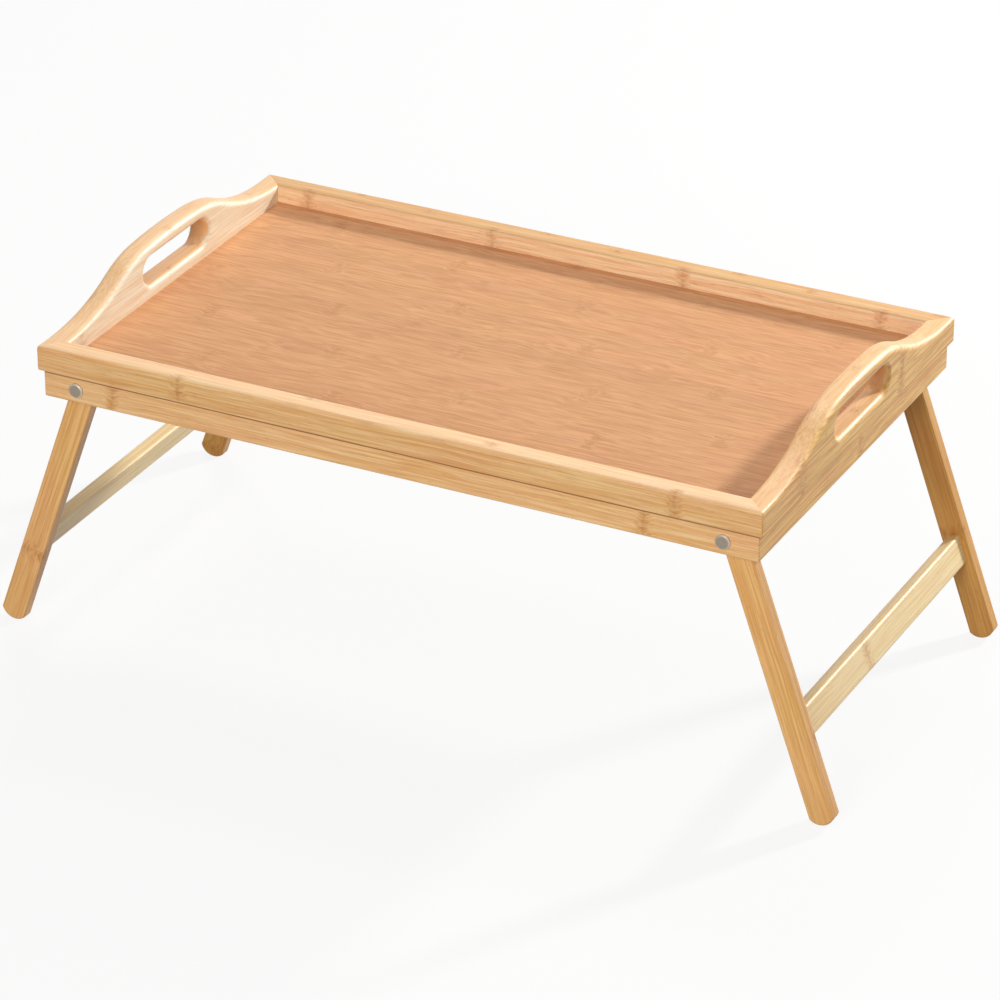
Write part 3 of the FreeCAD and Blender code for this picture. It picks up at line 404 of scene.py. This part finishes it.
# Frame: planed natural bamboo under satin lacquer. Pale straw colour with fine streaks and soft bright edges
naturalBamboo = {
    "pale": "#F2C68B", "tan": "#DFA362", "brown": "#A8662E", "bruise": "#B26A25", "end": "#D29E64",
    "short": 1, "drift": 0.8, "wave": 3, "contrast": 0.7, "edgeContrast": 0.5, "knuckle": 0.8,
    "specular": 0.3, "roughness": 0.48, "coat": 0.4, "coatRoughness": 0.42,
}
# Painted sheen: the looks below give horizontal faces, tops above all, their own tones, standing in for the
# sheen those faces catch under the lamps
frontBamboo = {**naturalBamboo, "edgePale": "#FFDAAB", "edgeTan": "#F9C48A"}
apronBamboo = {**naturalBamboo, "pale": "#F5CA91", "tan": "#E2A767"}
palerBamboo = {
    **naturalBamboo, "pale": "#FFDFB5", "tan": "#F7C493", "edgePale": "#E7BA7D", "edgeTan": "#DCA15F",
    "backPale": "#F2C68B", "backTan": "#DFA362",
}
palestBamboo = {
    **naturalBamboo, "pale": "#F5EED8", "tan": "#EDD6B2", "edgePale": "#FFD4A2", "edgeTan": "#F7C48C",
    "backPale": "#F2C68B", "backTan": "#DFA362", "contrast": 0.5, "end": "#E0AC74", "knuckle": 0.5,
}
sideBamboo = {
    **naturalBamboo, "pale": "#FACA75", "tan": "#D69441", "edgePale": "#FBCC92", "edgeTan": "#F0B97C",
    "contrast": 1.1, "bruise": "#A85E18", "knuckle": 0.6, "end": "#E8B27C",
}
rails = {
    "front_rail": {"turn": alongX, "face": -150.3, "layer": layerMm, "pitch": 341, "first": -148, "seed": 1},
    "back_rail": {"turn": alongX, "face": 134.2, "layer": layerMm, "pitch": 139, "first": -73, "seed": 12},
    "left_end_board": {"turn": alongY, "face": 234.8, "layer": -layerMm, "pitch": 310, "first": 190,
                       "seed": 23},
    "right_end_board": {"turn": alongY, "face": -250.3, "layer": layerMm, "pitch": 153, "first": -91,
                        "seed": 34},
    "front_apron": {"turn": alongX, "face": -147.3, "layer": layerMm, "pitch": 370, "first": -198,
                    "seed": 45},
    "back_apron": {"turn": alongX, "face": 147.3, "layer": -layerMm, "pitch": 290, "first": 60, "seed": 56},
    "left_apron": {"turn": alongY, "face": 247.3, "layer": -layerMm, "pitch": 270, "first": 30, "seed": 67},
    "right_apron": {"turn": alongY, "face": -247.3, "layer": layerMm, "pitch": 300, "first": 6, "seed": 78},
}
railLooks = {"front_rail": frontBamboo, "back_rail": palerBamboo, "left_end_board": palestBamboo,
             "right_end_board": sideBamboo, "front_apron": apronBamboo, "right_apron": sideBamboo}
for name, rail in rails.items():
    bamboo("lacqueredBamboo." + name, railLooks.get(name, naturalBamboo), {"node": name, **rail})
print("frame and apron dressed")

# Panel: carbonised bamboo ply, steamed to a reddish tan. Low, wavy streaks under the same lacquer
carbonisedBamboo = {
    "pale": "#E6AE7F", "tan": "#D2986A", "brown": "#A3683C", "bruise": "#A3683C", "end": "#C98E5D",
    "short": 2, "drift": 0.5, "wave": 12, "contrast": 0.3, "edgeContrast": 1, "knuckle": 0.3,
    "specular": 0.12, "roughness": 0.55, "coat": 0.05, "coatRoughness": 0.4,
}
panel = {"node": "tray_panel", "turn": alongX, "face": -139, "layer": 19, "pitch": 270, "first": 40,
         "seed": 5}
bamboo("carbonisedBambooPly", carbonisedBamboo, panel)
print("panel dressed")

# Legs and crossbars: the same bamboo, a browner batch for the legs and a pale one for the crossbars. The back
# legs take a darker, more saturated copy of the leg colours: painted shade, standing in for the shade under
# the tray
legSplay = radians(frame["joints"][0]["range_deg"][1] - 90)
brownBamboo = {
    "pale": "#F1BE7C", "tan": "#DB9E57", "brown": "#A8662E", "bruise": "#A5621F", "end": "#C48A4C",
    "short": 1, "drift": 1, "wave": 2, "contrast": 0.6, "edgeContrast": 1, "knuckle": 0.7,
    "specular": 0.35, "roughness": 0.45, "coat": 0.15, "coatRoughness": 0.3,
}
paintedShadeBamboo = {**brownBamboo, "pale": "#DDA757", "tan": "#C98C3C"}
paleBamboo = {**naturalBamboo, "pale": "#F9E1AD", "tan": "#EDCB8E", "contrast": 0.4}
legs = {
    "front_left_leg": {"side": -1, "face": -135.7, "layer": layerMm, "pitch": 260, "first": 40, "seed": 3},
    "back_left_leg": {"side": -1, "face": 125.1, "layer": layerMm, "pitch": 260, "first": 90, "seed": 14},
    "front_right_leg": {"side": 1, "face": -135.7, "layer": layerMm, "pitch": 300, "first": 150, "seed": 25},
    "back_right_leg": {"side": 1, "face": 125.1, "layer": layerMm, "pitch": 280, "first": 20, "seed": 36},
}
for name, leg in legs.items():
    turn = (0, leg["side"] * legSplay - pi / 2, 0)
    # back legs take the painted-shade copy of the leg colours
    look = paintedShadeBamboo if "back" in name else brownBamboo
    bamboo("brownBamboo." + name, look, {"node": name, "turn": turn, **leg})
crossbars = {
    "left_crossbar": {"side": -1, "face": 0, "layer": layerMm, "pitch": 300, "first": 120, "seed": 7},
    "right_crossbar": {"side": 1, "face": 0, "layer": layerMm, "pitch": 300, "first": -24, "seed": 18},
}
for name, bar in crossbars.items():
    turn = (0, bar["side"] * legSplay, -pi / 2)
    bamboo("paleBamboo." + name, paleBamboo, {"node": name, "turn": turn, **bar})
print("legs and crossbars dressed")

# Dowels: turned birch, plain and unlacquered, faintly mottled
dowels = {"colour": "#D9B787", "dark": "#C39A66", "mottlesPerMm": 0.9, "roughness": 0.7}
material = newMaterial("turnedBirch")
tree = material.node_tree
where = addNode(tree, "TexCoord").outputs
sized = addNode(tree, "VectorMath", {"operation": "MULTIPLY"},
                {0: where["Object"], 1: (dowels["mottlesPerMm"] * toMm,) * 3})
mottle = addNode(tree, "TexNoise", None, {"Vector": sized.outputs[0], "Scale": 1, "Detail": 2})
tone = addNode(tree, "Mix", {"data_type": "RGBA"},
               {0: mottle.outputs[0], 6: linear(dowels["colour"]), 7: linear(dowels["dark"])})
surface = addNode(tree, "BsdfPrincipled", None,
                  {"Base Color": tone.outputs[2], "Roughness": dowels["roughness"]})
addNode(tree, "OutputMaterial", None, {"Surface": surface.outputs[0]})
for name in ("frame_corner_dowels", "apron_corner_dowels", "left_crossbar_dowels", "right_crossbar_dowels"):
    dress(name, material)

# Steel pieces: cold-headed or stamped, then plated. Grey with a faint uneven sheen
steels = {
    "nickelPlatedSteel": {"colour": "#A3988A", "dark": "#8C8173", "roughness": 0.36,
                          "nodes": ("pivot_bolts", "lock_nuts")},
    "zincPlatedSteel": {"colour": "#BDBFC0", "dark": "#A0A2A4", "roughness": 0.45,
                        "nodes": ("leg_spacers", "nut_washers", "apron_screws")},
}
plating = {"blotchMm": 1.6, "uneven": 0.08}  # size of its soft blotches, and how they change the roughness
rim = {"colour": "#C2B8AA", "from": 0.7, "to": 0.95}  # painted highlight on the rim of the bolt heads, in their radii
pivot = frame["joints"][1]["pos_m"]
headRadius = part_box("pivot_bolts")[1][2] - pivot[2]


# Painted highlight: the bolt heads' colour grows brighter towards their rim, standing in for light caught by
# the rounded edge
def paintRimHighlight(tree, where, colour):
    spot = addNode(tree, "SeparateXYZ", None, {0: where["Object"]})
    across = addNode(tree, "Math", {"operation": "ABSOLUTE"}, {0: spot.outputs["X"]})
    flat = addNode(tree, "CombineXYZ", None, {"X": across.outputs[0], "Z": spot.outputs["Z"]})
    outwards = addNode(tree, "VectorMath", {"operation": "DISTANCE"},
                       {0: flat.outputs[0], 1: (pivot[0], 0, pivot[2])})
    atRim = addNode(tree, "MapRange", {"interpolation_type": "SMOOTHSTEP"}, {
        "Value": outwards.outputs["Value"], "From Min": rim["from"] * headRadius,
        "From Max": rim["to"] * headRadius})
    brightened = addNode(tree, "Mix", {"data_type": "RGBA"},
                         {0: atRim.outputs[0], 6: colour, 7: linear(rim["colour"])})
    return brightened.outputs[2]


for name, steel in steels.items():
    material = newMaterial(name)
    tree = material.node_tree
    where = addNode(tree, "TexCoord").outputs
    sized = addNode(tree, "VectorMath", {"operation": "SCALE"},
                    {0: where["Object"], "Scale": toMm / plating["blotchMm"]})
    blotch = addNode(tree, "TexNoise", None, {"Vector": sized.outputs[0], "Scale": 1, "Detail": 3})
    tone = addNode(tree, "Mix", {"data_type": "RGBA"},
                   {0: blotch.outputs[0], 6: linear(steel["colour"]), 7: linear(steel["dark"])})
    colour = tone.outputs[2]
    # the pivot bolts take the painted rim highlight
    if "pivot_bolts" in steel["nodes"]:
        colour = paintRimHighlight(tree, where, colour)
    rough = addNode(tree, "MapRange", None, {
        "Value": blotch.outputs[0], "To Min": steel["roughness"] - plating["uneven"],
        "To Max": steel["roughness"] + plating["uneven"]})
    surface = addNode(tree, "BsdfPrincipled", None,
                      {"Base Color": colour, "Metallic": 1, "Roughness": rough.outputs[0]})
    addNode(tree, "OutputMaterial", None, {"Surface": surface.outputs[0]})
    for nodeName in steel["nodes"]:
        dress(nodeName, material)
print("dowels and steel dressed")
